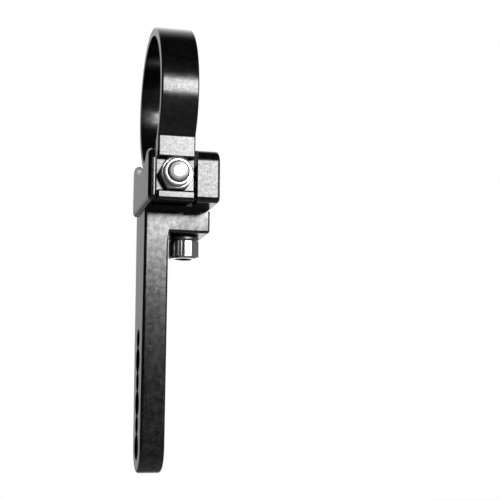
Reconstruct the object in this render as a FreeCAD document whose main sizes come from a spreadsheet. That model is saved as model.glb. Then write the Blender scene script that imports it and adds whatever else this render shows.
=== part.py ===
import FreeCAD, Part
import Sketcher
import math
import os

# Lamp bracket for one motorcycle fork tube. A springy strap goes round the tube and lies in a saddle
# block. A nut on the front of the block draws the strap tight. An L-shaped arm hangs under the block and
# carries the lamp on a row of holes.
# The origin is on the axis of the fork tube, in the middle of the strap. X runs along the tube, the nut
# looks towards -Y, and the arm hangs down along -Z. Sizes are in millimetres.

DIMENSIONS = {
    # fork tube and strap
    "fork_dia": 43.0,
    "strap_thick": 2.8,
    "strap_width": 11.8,
    "strap_edge_bevel": 0.5,
    "crease_round": 1.0,
    "lug_thick": 5.0,
    "lug_lift": 0.2,
    "lip_round": 1.0,
    "clamp_gap": 1.9,
    "tail_lift": 1.2,
    "nut_pocket_depth": 2.5,
    "nut_side_play": 0.1,
    # saddle block
    "saddle_relief": 1.4,
    "channel_side_play": 0.8,
    "thin_cheek": 2.0,
    "thick_cheek": 7.2,
    "front_horn": 6.0,
    "back_horn": 4.6,
    "horn_lift": 2.6,
    "block_below_tube": 14.4,
    "front_top_round": 4.3,
    "back_top_round": 3.0,
    "front_bottom_round": 1.3,
    "back_bottom_round": 1.8,
    "horn_round": 1.6,
    "block_edge_bevel": 0.8,
    # stud and nut of the clamp
    "stud_dia": 6.0,
    "stud_hole_play": 0.4,
    "stud_below_tube": 5.9,
    "stud_grip": 7.0,
    "stud_stick_out": 1.0,
    "stud_chamfer": 0.8,
    "nut_flats": 10.0,
    "nut_height": 6.0,
    "nut_hex_height": 4.2,
    "nut_corner_bevel": 0.45,
    "crown_dia": 8.4,
    "crown_bevel": 0.7,
    "crown_mouth_dia": 6.8,
    "crown_lip": 0.4,
    "insert_dia": 7.4,
    # lamp arm
    "arm_outer_side": 7.3,
    "arm_inner_side": 14.1,
    "arm_depth": 20.0,
    "arm_height": 84.1,
    "leg_thick": 7.9,
    "leg_end_width": 16.6,
    "foot_height": 7.2,
    "arm_edge_round": 0.9,
    "arm_inner_round": 0.8,
    "big_hole_dia": 8.4,
    "small_hole_dia": 6.4,
    "hole_step": 6.9,
    "hole_pairs": 3,
    # screw and washer of the arm
    "screw_dia": 6.0,
    "screw_hole_play": 0.6,
    "screw_side": 7.2,
    "screw_length": 16.0,
    "screw_chamfer": 0.8,
    "thread_spare": 1.5,
    "head_dia": 10.0,
    "head_height": 6.0,
    "head_bevel": 0.5,
    "socket_flats": 5.0,
    "socket_depth": 3.0,
    "washer_dia": 9.9,
    "washer_thick": 1.6,
    "washer_hole_play": 0.2,
    "washer_split": 0.9,
    "washer_split_lean": 25.0,
}

doc = FreeCAD.newDocument("lamp_bracket")
dims = doc.addObject("Spreadsheet::Sheet", "dims")
for row, (alias, number) in enumerate(DIMENSIONS.items(), start=1):
    dims.set(f"A{row}", alias)
    dims.set(f"B{row}", str(number))
    dims.setAlias(f"B{row}", alias)
doc.recompute()

# Sizes that follow from the driving dimensions. The block and all that it carries keep their distance
# from the wall of the tube, and the horns keep their width on either side of the saddle's mouth.
# Fronts are distances before the tube's axis, and drops are distances below it.
FORK_RADIUS = "(dims.fork_dia / 2)"
STRAP_RADIUS = f"({FORK_RADIUS} + dims.strap_thick)"
SADDLE_RADIUS = f"({FORK_RADIUS} + dims.saddle_relief)"
CHANNEL_WIDTH = "(dims.strap_width + 2 * dims.channel_side_play)"
BLOCK_TOP_DROP = f"({FORK_RADIUS} - dims.horn_lift)"
SADDLE_MOUTH = f"sqrt({SADDLE_RADIUS}^2 - {BLOCK_TOP_DROP}^2)"
BLOCK_FRONT = f"({SADDLE_MOUTH} + dims.front_horn)"
BLOCK_BACK = f"({SADDLE_MOUTH} + dims.back_horn)"
BLOCK_BOTTOM_DROP = f"({FORK_RADIUS} + dims.block_below_tube)"
LUG_BACK = f"({BLOCK_FRONT} - dims.lug_thick)"
LUG_END_DROP = f"({BLOCK_BOTTOM_DROP} - dims.lug_lift)"
TAIL_FRONT = f"({LUG_BACK} - dims.clamp_gap)"
TAIL_END_DROP = f"({BLOCK_BOTTOM_DROP} - dims.tail_lift)"
CORE_FRONT = f"({TAIL_FRONT} - dims.strap_thick)"
STUD_DROP = f"({FORK_RADIUS} + dims.stud_below_tube)"
STUD_HOLE_RADIUS = "(dims.stud_dia + dims.stud_hole_play) / 2"
NUT_SEAT = f"({BLOCK_FRONT} - dims.nut_pocket_depth)"
NUT_CORNER_RADIUS = "(dims.nut_flats / 2 / cos(30))"
INSERT_HEIGHT = "(dims.nut_height - dims.nut_hex_height - dims.crown_lip)"
ARM_MIDDLE_BACK = f"({BLOCK_BACK} - dims.arm_depth / 2)"
FOOT_BOTTOM_DROP = f"({BLOCK_BOTTOM_DROP} + dims.foot_height)"
LEG_INNER_SIDE = "(dims.leg_thick - dims.arm_outer_side)"
LEG_END_RADIUS = "(dims.leg_end_width / 2)"
LEG_END_DROP = f"({BLOCK_BOTTOM_DROP} + dims.arm_height)"
LEG_ROUND_DROP = f"({LEG_END_DROP} - {LEG_END_RADIUS})"
SCREW_HOLE_RADIUS = "(dims.screw_dia + dims.screw_hole_play) / 2"
SCREW_SEAT_DROP = f"({FOOT_BOTTOM_DROP} + dims.washer_thick)"
THREAD_DEPTH = "(dims.screw_length - dims.washer_thick - dims.foot_height)"


def size(expression):
    """The present value of an expression in the sheet's names."""
    return float(dims.evalExpression(expression))


def new_body(label):
    body = doc.addObject("PartDesign::Body", label)
    body.Label = label
    return body


def base_plane(body, role):
    return [part for part in body.Origin.OriginFeatures if part.Role == role][0]


def new_sketch(body, name, plane, offset=None):
    """A sketch on one of the body's own planes, moved along that plane's normal by the offset."""
    sketch = body.newObject("Sketcher::SketchObject", name)
    sketch.AttachmentSupport = [(base_plane(body, plane), "")]
    sketch.MapMode = "FlatFace"
    if offset:
        sketch.setExpression("AttachmentOffset.Base.z", offset)
    return sketch


def line(sketch, start, end):
    first = FreeCAD.Vector(start[0], start[1], 0)
    last = FreeCAD.Vector(end[0], end[1], 0)
    return sketch.addGeometry(Part.LineSegment(first, last))


def circle(sketch, centre, radius):
    middle = FreeCAD.Vector(centre[0], centre[1], 0)
    return sketch.addGeometry(Part.Circle(middle, FreeCAD.Vector(0, 0, 1), radius))


def arc(sketch, centre, radius, start, end):
    """An arc that runs anticlockwise from the start point to the end point."""
    middle = FreeCAD.Vector(centre[0], centre[1], 0)
    first = math.atan2(start[1] - centre[1], start[0] - centre[0])
    last = math.atan2(end[1] - centre[1], end[0] - centre[0])
    if last <= first:
        last += 2 * math.pi
    whole = Part.Circle(middle, FreeCAD.Vector(0, 0, 1), radius)
    return sketch.addGeometry(Part.ArcOfCircle(whole, first, last))


def join(sketch, *pairs):
    for one, one_end, other, other_end in pairs:
        sketch.addConstraint(Sketcher.Constraint("Coincident", one, one_end, other, other_end))


def upright(sketch, *lines):
    for index in lines:
        sketch.addConstraint(Sketcher.Constraint("Vertical", index))


def level(sketch, *lines):
    for index in lines:
        sketch.addConstraint(Sketcher.Constraint("Horizontal", index))


def bind(sketch, kind, where, expression):
    """A dimension of the sketch that follows the sheet."""
    index = sketch.addConstraint(Sketcher.Constraint(kind, *where, size(expression)))
    sketch.setExpression(f"Constraints[{index}]", expression)


def bind_to_origin(sketch, geometry, end, across=None, down=None):
    """Places a point to the left of the origin and below it."""
    if across:
        bind(sketch, "DistanceX", (geometry, end, -1, 1), across)
    if down:
        bind(sketch, "DistanceY", (geometry, end, -1, 1), down)


def rectangle(sketch, left, right, top, bottom):
    """A rectangle from its distances left of and below the origin. Negative ones lie right of it or above."""
    corners = [
        (-size(left), -size(bottom)),
        (-size(right), -size(bottom)),
        (-size(right), -size(top)),
        (-size(left), -size(top)),
    ]
    sides = [line(sketch, corners[k], corners[(k + 1) % 4]) for k in range(4)]
    join(sketch, *[(sides[k], 2, sides[(k + 1) % 4], 1) for k in range(4)])
    level(sketch, sides[0], sides[2])
    upright(sketch, sides[1], sides[3])
    bind_to_origin(sketch, sides[0], 1, left, bottom)
    bind_to_origin(sketch, sides[2], 1, right, top)


def round_hole(sketch, across, down, radius):
    """A circle whose centre lies left of the origin and below it."""
    index = circle(sketch, (-size(across), -size(down)), size(radius))
    bind_to_origin(sketch, index, 3, across, down)
    bind(sketch, "Radius", (index,), radius)


def centred_circle(sketch, radius):
    index = circle(sketch, (0, 0), size(radius))
    join(sketch, (index, 3, -1, 1))
    bind(sketch, "Radius", (index,), radius)


def feature(body, kind, name, sketch, length=None, symmetric=False, backwards=False):
    """A pad or a pocket of the sketch. A pocket without a length goes right through."""
    made = body.newObject(f"PartDesign::{kind}", name)
    made.Profile = sketch
    made.SideType = "Symmetric" if symmetric or not length else "One side"
    made.Reversed = backwards
    if length:
        made.setExpression("Length", length)
    else:
        made.Type = "ThroughAll"
    doc.recompute()
    return made


def spun(body, kind, name, sketch):
    """A revolution or a groove of the sketch about its own upright axis."""
    made = body.newObject(f"PartDesign::{kind}", name)
    made.Profile = sketch
    made.ReferenceAxis = (sketch, ["V_Axis"])
    made.Angle = 360
    doc.recompute()
    return made


def softened(body, kind, name, amount, wanted):
    """A fillet or a chamfer along each edge of the body that the test picks."""
    base = body.Tip
    names = [f"Edge{k}" for k, edge in enumerate(base.Shape.Edges, start=1) if wanted(edge)]
    made = body.newObject(f"PartDesign::{kind}", name)
    made.Base = (base, names)
    made.setExpression("Radius" if kind == "Fillet" else "Size", amount)
    doc.recompute()
    return made


def near(first, second):
    return abs(first - second) < 0.01


def along_x_at(edge, y, z):
    """True for a straight edge along X through the given y and z."""
    box = edge.BoundBox
    return near(box.YMin, y) and near(box.YMax, y) and near(box.ZMin, z) and near(box.ZMax, z)


def in_plane_x(edge, *places):
    """True for an edge that lies in one of the planes across X."""
    box = edge.BoundBox
    return any(near(box.XMin, x) and near(box.XMax, x) for x in places)


def in_plane_z(edge, z):
    return near(edge.BoundBox.ZMin, z) and near(edge.BoundBox.ZMax, z)


def is_arc(edge, *radii):
    """True for a round edge of one of the radii."""
    return edge.Curve.TypeId == "Part::GeomCircle" and any(near(edge.Curve.Radius, r) for r in radii)


def place_on_stud(body, back):
    """Turns a piece that was built along Z to look forwards on the axis of the stud."""
    body.Placement.Rotation = FreeCAD.Rotation(FreeCAD.Vector(1, 0, 0), 90)
    body.setExpression("Placement.Base.y", back)
    body.setExpression("Placement.Base.z", f"-{STUD_DROP}")


def place_under_foot(body):
    """Moves a piece that was built along Z to the seat of the screw's head."""
    body.setExpression("Placement.Base.x", "dims.screw_side")
    body.setExpression("Placement.Base.y", ARM_MIDDLE_BACK)
    body.setExpression("Placement.Base.z", f"-{SCREW_SEAT_DROP}")


def make_fork_strap():
    """One strip: a thick lug in front, the loop round the tube, and a tail that turns down behind the lug."""
    body = new_body("fork_strap")
    front, lug_back = -size(BLOCK_FRONT), -size(LUG_BACK)
    tail_front, tail_back = -size(TAIL_FRONT), -size(CORE_FRONT)
    lug_end, tail_end = -size(LUG_END_DROP), -size(TAIL_END_DROP)
    inner, outer = size(FORK_RADIUS), size(STRAP_RADIUS)

    def on_circle(y, radius):
        return (y, -math.sqrt(radius**2 - y**2))

    profile = new_sketch(body, "strap_profile", "YZ_Plane")
    crease = on_circle(front, outer)
    tail_root = on_circle(tail_back, outer)
    tail_lip = on_circle(tail_front, inner)
    lug_root = on_circle(lug_back, inner)
    outside = arc(profile, (0, 0), outer, tail_root, crease)
    inside = arc(profile, (0, 0), inner, tail_lip, lug_root)
    tail_rear = line(profile, tail_root, (tail_back, tail_end))
    tail_foot = line(profile, (tail_back, tail_end), (tail_front, tail_end))
    tail_face = line(profile, (tail_front, tail_end), tail_lip)
    lug_rear = line(profile, lug_root, (lug_back, lug_end))
    lug_foot = line(profile, (lug_back, lug_end), (front, lug_end))
    lug_face = line(profile, (front, lug_end), crease)
    join(profile, (outside, 3, -1, 1), (inside, 3, -1, 1))
    join(profile, (outside, 1, tail_rear, 1), (tail_rear, 2, tail_foot, 1), (tail_foot, 2, tail_face, 1))
    join(profile, (tail_face, 2, inside, 1), (inside, 2, lug_rear, 1), (lug_rear, 2, lug_foot, 1))
    join(profile, (lug_foot, 2, lug_face, 1), (lug_face, 2, outside, 2))
    upright(profile, tail_rear, tail_face, lug_rear, lug_face)
    level(profile, tail_foot, lug_foot)
    bind(profile, "Radius", (outside,), STRAP_RADIUS)
    bind(profile, "Radius", (inside,), FORK_RADIUS)
    bind_to_origin(profile, tail_foot, 1, CORE_FRONT, TAIL_END_DROP)
    bind_to_origin(profile, tail_foot, 2, TAIL_FRONT)
    bind_to_origin(profile, lug_foot, 1, LUG_BACK, LUG_END_DROP)
    bind_to_origin(profile, lug_foot, 2, BLOCK_FRONT)
    feature(body, "Pad", "strap_strip", profile, "dims.strap_width", symmetric=True)

    # A slot right across the lug takes the nut and keeps it from turning.
    pocket = new_sketch(body, "nut_pocket_outline", "YZ_Plane")
    half_slot = "(dims.nut_flats / 2 + dims.nut_side_play)"
    pocket_top, pocket_bottom = f"{STUD_DROP} - {half_slot}", f"{STUD_DROP} + {half_slot}"
    rectangle(pocket, f"{BLOCK_FRONT} + dims.lug_thick", NUT_SEAT, pocket_top, pocket_bottom)
    feature(body, "Pocket", "nut_pocket", pocket)
    stud_hole = new_sketch(body, "stud_hole_outline", "XZ_Plane")
    round_hole(stud_hole, "0", STUD_DROP, STUD_HOLE_RADIUS)
    feature(body, "Pocket", "stud_hole", stud_hole)

    def crease_edge(edge):
        return along_x_at(edge, front, crease[1])

    def lip_edge(edge):
        return along_x_at(edge, front, lug_end)

    half_width = size("dims.strap_width / 2")

    def outside_edge(edge):
        """The long edges of the loop's outer side, of the lug's front and of the roundings on it."""
        middle = edge.valueAt((edge.FirstParameter + edge.LastParameter) / 2)
        on_front = near(middle.y, front) or is_arc(edge, size("dims.crease_round"), size("dims.lip_round"))
        return in_plane_x(edge, half_width, -half_width) and (is_arc(edge, outer) or on_front)

    softened(body, "Fillet", "crease_bend", "dims.crease_round", crease_edge)
    softened(body, "Fillet", "lip_rounding", "dims.lip_round", lip_edge)
    softened(body, "Chamfer", "strap_edge_bevels", "dims.strap_edge_bevel", outside_edge)
    return body


def make_saddle_block():
    """A block with a round saddle on top, and a channel for the strap between two unlike cheeks."""
    body = new_body("saddle_block")
    thin_side = f"({CHANNEL_WIDTH} / 2 + dims.thin_cheek)"
    thick_side = f"({CHANNEL_WIDTH} / 2 + dims.thick_cheek)"
    front, back = -size(BLOCK_FRONT), size(BLOCK_BACK)
    top, bottom = -size(BLOCK_TOP_DROP), -size(BLOCK_BOTTOM_DROP)

    outline = new_sketch(body, "block_outline", "YZ_Plane", f"-{thin_side}")
    rectangle(outline, BLOCK_FRONT, f"-{BLOCK_BACK}", BLOCK_TOP_DROP, BLOCK_BOTTOM_DROP)
    feature(body, "Pad", "block_bar", outline, f"{thin_side} + {thick_side}")
    corners = (
        ("front_top", "dims.front_top_round", front, top),
        ("back_top", "dims.back_top_round", back, top),
        ("front_low", "dims.front_bottom_round", front, bottom),
        ("back_low", "dims.back_bottom_round", back, bottom),
    )
    for name, radius, y, z in corners:
        softened(body, "Fillet", f"{name}_corner", radius, lambda edge: along_x_at(edge, y, z))

    saddle = new_sketch(body, "saddle_circle", "YZ_Plane")
    centred_circle(saddle, SADDLE_RADIUS)
    feature(body, "Pocket", "saddle", saddle)
    mouth = size(SADDLE_MOUTH)

    def horn_edge(edge):
        return along_x_at(edge, -mouth, top) or along_x_at(edge, mouth, top)

    def side_edge(edge):
        return in_plane_x(edge, -size(thin_side), size(thick_side))

    softened(body, "Fillet", "horn_rounding", "dims.horn_round", horn_edge)
    softened(body, "Chamfer", "side_edge_bevels", "dims.block_edge_bevel", side_edge)

    # The strap lies on a round bed, and its lug and tail hang in a slot that is open in front and below.
    bed = new_sketch(body, "strap_bed_circle", "YZ_Plane")
    centred_circle(bed, STRAP_RADIUS)
    feature(body, "Pocket", "strap_bed", bed, CHANNEL_WIDTH, symmetric=True)
    slot = new_sketch(body, "lug_slot_outline", "YZ_Plane")
    rectangle(slot, f"2 * {BLOCK_FRONT}", CORE_FRONT, "0", f"2 * {BLOCK_BOTTOM_DROP}")
    feature(body, "Pocket", "lug_slot", slot, CHANNEL_WIDTH, symmetric=True)

    stud_thread = new_sketch(body, "stud_thread_outline", "XZ_Plane", CORE_FRONT)
    round_hole(stud_thread, "0", STUD_DROP, "dims.stud_dia / 2")
    feature(body, "Pocket", "stud_thread", stud_thread, "dims.stud_grip")
    screw_thread = new_sketch(body, "screw_thread_outline", "XY_Plane", f"-{BLOCK_BOTTOM_DROP}")
    round_hole(screw_thread, "-dims.screw_side", f"-{ARM_MIDDLE_BACK}", "dims.screw_dia / 2")
    bore_depth = f"{THREAD_DEPTH} + dims.thread_spare"
    feature(body, "Pocket", "screw_thread", screw_thread, bore_depth, backwards=True)
    return body


def make_lamp_arm():
    """A foot under the block and a flat leg that narrows to a round end, cut from one L-shaped bar."""
    body = new_body("lamp_arm")
    radius = size(LEG_END_RADIUS)
    middle = size(ARM_MIDDLE_BACK)
    half_depth = size("dims.arm_depth / 2")
    top_z, foot_z, round_z = -size(BLOCK_BOTTOM_DROP), -size(FOOT_BOTTOM_DROP), -size(LEG_ROUND_DROP)
    outer_x, inner_x, foot_x = -size("dims.arm_outer_side"), size(LEG_INNER_SIDE), size("dims.arm_inner_side")

    outline = new_sketch(body, "arm_outline", "YZ_Plane", "-dims.arm_outer_side")
    top = line(outline, (middle - half_depth, top_z), (middle + half_depth, top_z))
    back_side = line(outline, (middle + half_depth, top_z), (middle + radius, round_z))
    end = arc(outline, (middle, round_z), radius, (middle - radius, round_z), (middle + radius, round_z))
    front_side = line(outline, (middle - radius, round_z), (middle - half_depth, top_z))
    join(outline, (top, 2, back_side, 1), (front_side, 2, top, 1))
    outline.addConstraint(Sketcher.Constraint("Tangent", back_side, 2, end, 2))
    outline.addConstraint(Sketcher.Constraint("Tangent", front_side, 1, end, 1))
    level(outline, top)
    bind_to_origin(outline, end, 3, f"-{ARM_MIDDLE_BACK}", LEG_ROUND_DROP)
    bind(outline, "Radius", (end,), LEG_END_RADIUS)
    bind(outline, "DistanceX", (top, 1, top, 2), "dims.arm_depth")
    bind(outline, "DistanceX", (top, 1, end, 3), "dims.arm_depth / 2")
    bind_to_origin(outline, top, 1, down=BLOCK_BOTTOM_DROP)
    feature(body, "Pad", "arm_bar", outline, "dims.arm_outer_side + dims.arm_inner_side")

    inner_side = new_sketch(body, "inner_cut_outline", "XZ_Plane")
    beyond_foot, below_leg = "-2 * dims.arm_inner_side", f"2 * {LEG_END_DROP}"
    rectangle(inner_side, f"-{LEG_INNER_SIDE}", beyond_foot, FOOT_BOTTOM_DROP, below_leg)
    feature(body, "Pocket", "inner_cut", inner_side)

    # Wide and narrow holes follow each other down the leg and run into one another.
    holes = (
        ("big_hole", "dims.big_hole_dia / 2", LEG_ROUND_DROP),
        ("small_hole", "dims.small_hole_dia / 2", f"{LEG_ROUND_DROP} - dims.hole_step"),
    )
    for name, hole_radius, drop in holes:
        ring = new_sketch(body, f"{name}_outline", "YZ_Plane")
        round_hole(ring, f"-{ARM_MIDDLE_BACK}", drop, hole_radius)
        hole = feature(body, "Pocket", name, ring)
        row_of_holes = body.newObject("PartDesign::LinearPattern", f"{name}_row")
        row_of_holes.Originals = [hole]
        row_of_holes.Direction = (ring, ["V_Axis"])
        row_of_holes.setExpression("Length", "2 * dims.hole_step * (dims.hole_pairs - 1)")
        row_of_holes.setExpression("Occurrences", "dims.hole_pairs")
        body.Tip = row_of_holes
        doc.recompute()

    screw_hole = new_sketch(body, "screw_hole_outline", "XY_Plane")
    round_hole(screw_hole, "-dims.screw_side", f"-{ARM_MIDDLE_BACK}", SCREW_HOLE_RADIUS)
    feature(body, "Pocket", "screw_hole", screw_hole)

    def inner_corner(edge):
        return in_plane_x(edge, inner_x) and in_plane_z(edge, foot_z)

    def rim(edge):
        """The rim of each side of the leg and of the foot, apart from the holes and the face on the block."""
        on_hole = is_arc(edge, size("dims.big_hole_dia / 2"), size("dims.small_hole_dia / 2"))
        on_side = in_plane_x(edge, outer_x, inner_x, foot_x)
        foot_side = in_plane_z(edge, foot_z) and not is_arc(edge, size(SCREW_HOLE_RADIUS))
        return not on_hole and not in_plane_z(edge, top_z) and (on_side or foot_side)

    softened(body, "Fillet", "inner_corner", "dims.arm_inner_round", inner_corner)
    softened(body, "Fillet", "arm_rim_rounding", "dims.arm_edge_round", rim)
    return body


def make_clamp_stud():
    """A plain stud, built along Z from its inner end."""
    body = new_body("clamp_stud")
    outline = new_sketch(body, "stud_outline", "XY_Plane")
    centred_circle(outline, "dims.stud_dia / 2")
    length = f"dims.stud_grip + {NUT_SEAT} - {CORE_FRONT} + dims.nut_height + dims.stud_stick_out"
    feature(body, "Pad", "stud_rod", outline, length)

    def end_rim(edge):
        return is_arc(edge, size("dims.stud_dia / 2"))

    softened(body, "Chamfer", "stud_ends", "dims.stud_chamfer", end_rim)
    place_on_stud(body, f"dims.stud_grip - {CORE_FRONT}")
    return body


def make_lock_nut():
    """A hexagon with a round crown that is rolled over a ring of nylon, built along Z from its seat."""
    body = new_body("lock_nut")
    hexagon = body.newObject("PartDesign::AdditivePrism", "hexagon")
    hexagon.Polygon = 6
    hexagon.setExpression("Circumradius", NUT_CORNER_RADIUS)
    hexagon.setExpression("Height", "dims.nut_hex_height")
    doc.recompute()

    # The front end of the hexagon is turned down to a cone, so that its corners are bevelled.
    bevel = new_sketch(body, "bevel_outline", "XZ_Plane")
    flat, point = size("dims.nut_flats / 2"), size(NUT_CORNER_RADIUS)
    height, drop = size("dims.nut_hex_height"), size("dims.nut_corner_bevel")
    across = line(bevel, (flat, height), (point, height))
    fall = line(bevel, (point, height), (point, height - drop))
    cone = line(bevel, (point, height - drop), (flat, height))
    join(bevel, (across, 2, fall, 1), (fall, 2, cone, 1), (cone, 2, across, 1))
    level(bevel, across)
    upright(bevel, fall)
    bind(bevel, "DistanceX", (-1, 1, across, 1), "dims.nut_flats / 2")
    bind(bevel, "DistanceX", (-1, 1, across, 2), NUT_CORNER_RADIUS)
    bind(bevel, "DistanceY", (-1, 1, across, 1), "dims.nut_hex_height")
    bind(bevel, "DistanceY", (fall, 2, fall, 1), "dims.nut_corner_bevel")
    spun(body, "Groove", "corner_bevels", bevel)

    crown = new_sketch(body, "crown_outline", "XY_Plane")
    centred_circle(crown, "dims.crown_dia / 2")
    feature(body, "Pad", "crown", crown, "dims.nut_height")

    def crown_edge(edge):
        return in_plane_z(edge, size("dims.nut_height"))

    softened(body, "Chamfer", "crown_bevel", "dims.crown_bevel", crown_edge)
    bore = new_sketch(body, "nut_bore_outline", "XY_Plane")
    centred_circle(bore, "dims.stud_dia / 2")
    feature(body, "Pocket", "nut_bore", bore)
    seat = new_sketch(body, "insert_seat_outline", "XY_Plane", "dims.nut_hex_height")
    centred_circle(seat, "dims.insert_dia / 2")
    feature(body, "Pocket", "insert_seat", seat, INSERT_HEIGHT, backwards=True)
    mouth = new_sketch(body, "crown_mouth_outline", "XY_Plane", "dims.nut_hex_height")
    centred_circle(mouth, "dims.crown_mouth_dia / 2")
    feature(body, "Pocket", "crown_mouth", mouth, "dims.nut_height", backwards=True)
    place_on_stud(body, f"-{NUT_SEAT}")
    return body


def make_nut_insert():
    """The nylon ring that fills the seat in the nut's crown."""
    body = new_body("nut_insert")
    outline = new_sketch(body, "insert_outline", "XY_Plane")
    centred_circle(outline, "dims.insert_dia / 2")
    centred_circle(outline, "dims.stud_dia / 2")
    feature(body, "Pad", "insert_ring", outline, INSERT_HEIGHT)
    place_on_stud(body, f"-{NUT_SEAT} - dims.nut_hex_height")
    return body


def make_spring_washer():
    """A ring that is cut through once on the slant, built along Z."""
    body = new_body("spring_washer")
    outline = new_sketch(body, "washer_outline", "XY_Plane")
    centred_circle(outline, "dims.washer_dia / 2")
    centred_circle(outline, "(dims.screw_dia + dims.washer_hole_play) / 2")
    feature(body, "Pad", "washer_ring", outline, "dims.washer_thick")

    # The slanted cut is a leaning strip, seen from the side of the ring that it opens.
    split = new_sketch(body, "split_outline", "XZ_Plane")
    lean = "dims.washer_thick * tan(dims.washer_split_lean)"
    width = size("dims.washer_split")
    shift, height = size(lean), size("dims.washer_thick")
    bottom = line(split, (0, 0), (width, 0))
    right = line(split, (width, 0), (width + shift, height))
    top = line(split, (width + shift, height), (shift, height))
    left = line(split, (shift, height), (0, 0))
    join(split, (bottom, 2, right, 1), (right, 2, top, 1), (top, 2, left, 1), (left, 2, bottom, 1))
    join(split, (bottom, 1, -1, 1))
    level(split, bottom, top)
    bind(split, "DistanceX", (bottom, 1, bottom, 2), "dims.washer_split")
    bind(split, "DistanceX", (top, 2, top, 1), "dims.washer_split")
    bind(split, "DistanceX", (-1, 1, top, 2), lean)
    bind(split, "DistanceY", (-1, 1, top, 2), "dims.washer_thick")
    feature(body, "Pocket", "split", split, "dims.washer_dia")
    place_under_foot(body)
    return body


def make_arm_screw():
    """A socket-head screw, built upwards from the seat of its head, with the head below."""
    body = new_body("arm_screw")
    head = new_sketch(body, "head_outline", "XY_Plane")
    centred_circle(head, "dims.head_dia / 2")
    feature(body, "Pad", "head", head, "dims.head_height", backwards=True)

    def head_rim(edge):
        return in_plane_z(edge, -size("dims.head_height"))

    def tip_rim(edge):
        return in_plane_z(edge, size("dims.screw_length"))

    softened(body, "Chamfer", "head_bevel", "dims.head_bevel", head_rim)
    shank = new_sketch(body, "shank_outline", "XY_Plane")
    centred_circle(shank, "dims.screw_dia / 2")
    feature(body, "Pad", "shank", shank, "dims.screw_length")
    softened(body, "Chamfer", "shank_tip", "dims.screw_chamfer", tip_rim)
    socket = body.newObject("PartDesign::SubtractivePrism", "hex_socket")
    socket.Polygon = 6
    socket.setExpression("Circumradius", "dims.socket_flats / 2 / cos(30)")
    socket.setExpression("Height", "dims.socket_depth")
    socket.AttachmentSupport = [(base_plane(body, "XY_Plane"), "")]
    socket.MapMode = "FlatFace"
    socket.setExpression("AttachmentOffset.Base.z", "-dims.head_height")
    doc.recompute()
    place_under_foot(body)
    return body


bodies = [
    make_fork_strap(),
    make_saddle_block(),
    make_clamp_stud(),
    make_lock_nut(),
    make_nut_insert(),
    make_lamp_arm(),
    make_spring_washer(),
    make_arm_screw(),
]
doc.recompute()

for item in doc.Objects:
    if "Invalid" in item.State or "Error" in item.State:
        raise RuntimeError(f"{item.Label} did not build: {item.State}")
for body in bodies:
    if body.Shape.isNull() or not body.Shape.isValid() or len(body.Shape.Solids) != 1:
        raise RuntimeError(f"{body.Label} is not one sound solid")

os.makedirs("parts", exist_ok=True)
for body in bodies:
    body.Shape.exportStep(f"parts/{body.Label}.step")
    print(body.Label, "volume", round(body.Shape.Volume, 1))
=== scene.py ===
# %% [markdown]
# This lesson dresses a lamp bracket for a motorcycle fork. A springy strap goes round the fork
# tube, a saddle block carries the strap, and a flat arm with a chain of holes hangs below for the
# lamp. The solids come from the imported frame, in metres. They stay where they are, so the first
# step only loads them and prints their names. Every piece made later stays inside the box that
# they fill.

# %% Load the frame
import bmesh
import bpy
import math
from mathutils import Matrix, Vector


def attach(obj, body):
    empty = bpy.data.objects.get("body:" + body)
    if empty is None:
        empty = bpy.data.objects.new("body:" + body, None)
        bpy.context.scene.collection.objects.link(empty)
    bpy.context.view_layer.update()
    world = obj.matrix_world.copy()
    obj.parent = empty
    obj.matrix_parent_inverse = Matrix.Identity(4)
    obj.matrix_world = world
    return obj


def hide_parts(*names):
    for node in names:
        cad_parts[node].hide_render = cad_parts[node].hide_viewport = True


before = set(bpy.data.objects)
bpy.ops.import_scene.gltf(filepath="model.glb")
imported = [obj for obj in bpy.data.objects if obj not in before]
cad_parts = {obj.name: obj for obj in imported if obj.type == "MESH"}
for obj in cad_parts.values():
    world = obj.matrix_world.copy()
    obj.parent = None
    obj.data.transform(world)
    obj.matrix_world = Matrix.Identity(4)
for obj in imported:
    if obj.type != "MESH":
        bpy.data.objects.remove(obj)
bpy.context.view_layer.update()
MM = 0.001
scene = bpy.context.scene
print("solids:", ", ".join(sorted(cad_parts)))

# %% [markdown]
# The camera stands low and to the left of the bracket and looks slightly upwards, so that the
# undersides of the block and of the foot show. Its place and lens were found by matching corners
# of the solids with the picture, so it needs no shift.

# %% Camera
CAMERA_PLACE = Vector((-55.794, -343.354, -97.202)) * MM
CAMERA_TURN = (97.974, -0.271, -13.766)
CAMERA_LENS, SENSOR_WIDTH = 77.985, 36
CAMERA_NEAR = 0.01

camera_data = bpy.data.cameras.new("bench_camera")
camera_data.lens = CAMERA_LENS
camera_data.sensor_width = SENSOR_WIDTH
camera_data.clip_start = CAMERA_NEAR
camera = bpy.data.objects.new("bench_camera", camera_data)
camera.location = CAMERA_PLACE
camera.rotation_euler = [math.radians(angle) for angle in CAMERA_TURN]
scene.collection.objects.link(camera)
scene.camera = camera
print("camera at", [round(place / MM) for place in CAMERA_PLACE], "mm")

# %% [markdown]
# The flat pieces of the bracket, which are the strap, the block and the arm, all have one outline
# from side to side. Such a piece could start as a box that is cut down bit by bit. Here its outline
# is drawn first, as a pencil would: a plane is merged to one point, the point is drawn out along
# straight lines, and it is spun about a centre for arcs. The outline is then filled and pulled to
# its width. Spin turns clockwise for a positive angle, so the pencil gives it the angle's opposite.
# The same pencil draws the half sections of the turned pieces, which are spun once round.

# %% The pencil
MERGE_GAP = 0.002 * MM
TURNED_STEPS = 96


class Sheet:
    """A flat sheet in space: points on it are given as a pair of millimetres."""

    def __init__(self, origin, across, up):
        self.origin = Vector(origin)
        self.across = Vector(across)
        self.up = Vector(up)
        self.normal = self.across.cross(self.up)

    def point(self, pair):
        return (self.origin + self.across * pair[0] + self.up * pair[1]) * MM


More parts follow.
